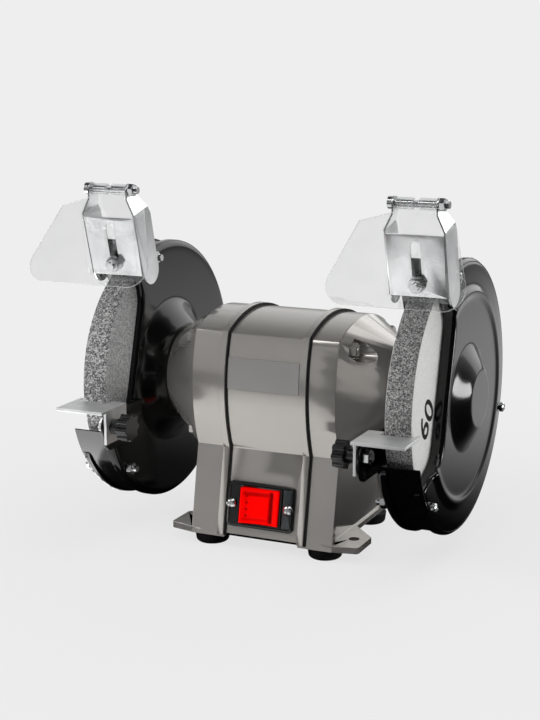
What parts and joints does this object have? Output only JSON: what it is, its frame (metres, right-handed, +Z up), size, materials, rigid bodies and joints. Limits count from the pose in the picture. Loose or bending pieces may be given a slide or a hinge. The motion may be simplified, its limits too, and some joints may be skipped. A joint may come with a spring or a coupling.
{
  "type": "bench grinder",
  "caption": "Electric double-wheel bench grinder with guards, eye shields, tool rests and a rocker switch.",
  "frame": {"origin": "middle of the box around the machine, on the bench top", "axes": "X along the motor shaft, +Y away from the operator, +Z up; rotor, hinges and rest bolts turn about X"},
  "size_m": [0.2723, 0.1808, 0.221],
  "materials": {
    "body_paint": "warm light grey satin enamel on castings",
    "plate_grey": "bare darker grey plate",
    "black_paint": "gloss black enamel on pressed steel",
    "rubber": "matt black rubber",
    "zinc_steel": "bright zinc plate",
    "steel": "machined steel",
    "copper_wire": "enamelled copper wire",
    "capacitor_shell": "pale moulded plastic",
    "black_plastic": "black moulded plastic",
    "red_plastic": "translucent red rocker",
    "coarse_stone": "coarse grey abrasive",
    "fine_stone": "finer light grey abrasive",
    "blotter_card": "card blotter",
    "clear_plastic": "clear polycarbonate"
  },
  "bodies": {
    "frame": {"left_end_shield": "body_paint", "right_end_shield": "body_paint", "motor_housing": "body_paint", "nameplate": "plate_grey", "base_plate": "black_paint", "rubber_feet": "rubber", "foot_screws": "zinc_steel", "tie_bolts": "zinc_steel", "stator_core": "steel", "stator_windings": "copper_wire", "left_outer_race": "steel", "right_outer_race": "steel", "wave_washer": "zinc_steel", "capacitor": "capacitor_shell", "capacitor_clamp": "zinc_steel", "terminal_block": "capacitor_shell", "cable_gland": "rubber", "switch_body": "black_plastic", "switch_screws": "zinc_steel", "left_inner_guard": "black_paint", "left_guard_band": "black_paint", "left_outer_cover": "black_paint", "left_guard_screws": "zinc_steel", "left_neck_screws": "zinc_steel", "left_bracket_bolt": "zinc_steel", "right_inner_guard": "black_paint", "right_guard_band": "black_paint", "right_outer_cover": "black_paint", "right_guard_screws": "zinc_steel", "right_neck_screws": "zinc_steel", "right_bracket_bolt": "zinc_steel"},
    "rotor": {"rotor_core": "steel", "motor_shaft": "steel", "bearing_balls": "steel", "left_inner_race": "steel", "left_wheel": "coarse_stone", "left_inner_flange": "steel", "left_outer_flange": "steel", "left_blotters": "blotter_card", "left_spindle_nut": "zinc_steel", "right_inner_race": "steel", "right_wheel": "fine_stone", "right_inner_flange": "steel", "right_outer_flange": "steel", "right_blotters": "blotter_card", "right_spindle_nut": "zinc_steel"},
    "rocker": {"switch_rocker": "red_plastic"},
    "left_bracket": {"left_shield_bracket": "zinc_steel", "left_hinge_bolt": "zinc_steel"},
    "left_shield": {"left_eye_shield": "clear_plastic"},
    "left_clamp": {"left_rest_bolt": "zinc_steel"},
    "left_rest": {"left_tool_rest": "zinc_steel"},
    "left_knob": {"left_rest_knob": "black_plastic"},
    "right_bracket": {"right_shield_bracket": "zinc_steel", "right_hinge_bolt": "zinc_steel"},
    "right_shield": {"right_eye_shield": "clear_plastic"},
    "right_clamp": {"right_rest_bolt": "zinc_steel"},
    "right_rest": {"right_tool_rest": "zinc_steel"},
    "right_knob": {"right_rest_knob": "black_plastic"}
  },
  "joints": [
    {"name": "rotor_spin", "type": "hinge", "parent": "frame", "child": "rotor", "pos_m": [0, 0.00805, 0.098], "axis": [1, 0, 0], "continuous": true},
    {"name": "switch_rock", "type": "hinge", "parent": "frame", "child": "rocker", "pos_m": [-0.0013, -0.03329, 0.02792], "axis": [0, 0.1926, 0.9813], "range_deg": [-14, 0]},
    {"name": "left_bracket_slide", "type": "slide", "parent": "frame", "child": "left_bracket", "axis": [0, -0.2504, 0.9681], "range_m": [-0.004, 0.001]},
    {"name": "left_shield_hinge", "type": "hinge", "parent": "left_bracket", "child": "left_shield", "pos_m": [-0.0973, -0.04248, 0.217], "axis": [1, 0, 0], "range_deg": [-90, 8]},
    {"name": "left_rest_tilt", "type": "hinge", "parent": "frame", "child": "left_clamp", "pos_m": [-0.0973, -0.07845, 0.0805], "axis": [1, 0, 0], "range_deg": [-2, 30]},
    {"name": "left_rest_slide", "type": "slide", "parent": "left_clamp", "child": "left_rest", "axis": [0, 1, 0], "range_m": [-0.008, 0.0015]},
    {"name": "left_knob_turn", "type": "hinge", "parent": "left_clamp", "child": "left_knob", "pos_m": [-0.0973, -0.07845, 0.0805], "axis": [1, 0, 0], "continuous": true},
    {"name": "right_bracket_slide", "type": "slide", "parent": "frame", "child": "right_bracket", "axis": [0, -0.2504, 0.9681], "range_m": [-0.004, 0.001]},
    {"name": "right_shield_hinge", "type": "hinge", "parent": "right_bracket", "child": "right_shield", "pos_m": [0.0973, -0.04248, 0.217], "axis": [1, 0, 0], "range_deg": [-90, 8]},
    {"name": "right_rest_tilt", "type": "hinge", "parent": "frame", "child": "right_clamp", "pos_m": [0.0973, -0.07845, 0.0805], "axis": [1, 0, 0], "range_deg": [-2, 30]},
    {"name": "right_rest_slide", "type": "slide", "parent": "right_clamp", "child": "right_rest", "axis": [0, 1, 0], "range_m": [-0.008, 0.0015]},
    {"name": "right_knob_turn", "type": "hinge", "parent": "right_clamp", "child": "right_knob", "pos_m": [0.0973, -0.07845, 0.0805], "axis": [1, 0, 0], "continuous": true}
  ]
}
